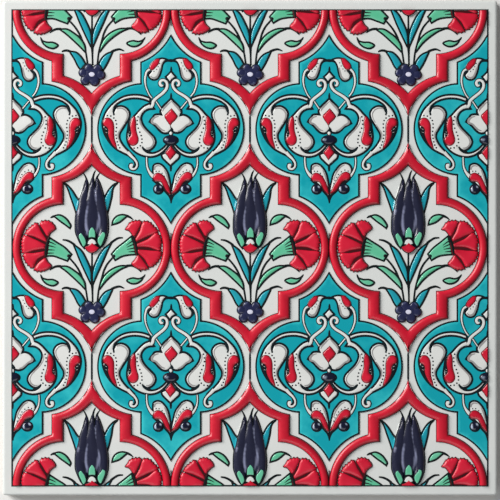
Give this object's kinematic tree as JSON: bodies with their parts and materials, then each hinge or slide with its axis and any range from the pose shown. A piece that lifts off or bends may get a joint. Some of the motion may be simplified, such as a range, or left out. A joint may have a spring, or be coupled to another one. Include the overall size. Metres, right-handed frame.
{
  "type": "hand-painted relief wall tile",
  "caption": "Square glazed ceramic wall tile with a raised lattice of tulip, carnation and medallion ornament; glued by its flat back.",
  "frame": {"origin": "middle of the flat back, on the surface the tile lies on", "axes": "+Z out of the painted face, +Y the way the tulips point, +X to the right as the ornament is read"},
  "size_m": [0.2, 0.2, 0.0083],
  "materials": {
    "white_glaze": "glossy off-white glaze with red, turquoise, green and dark blue painting"
  },
  "bodies": {
    "root": {"glazed_tile": "white_glaze"}
  },
  "joints": []
}
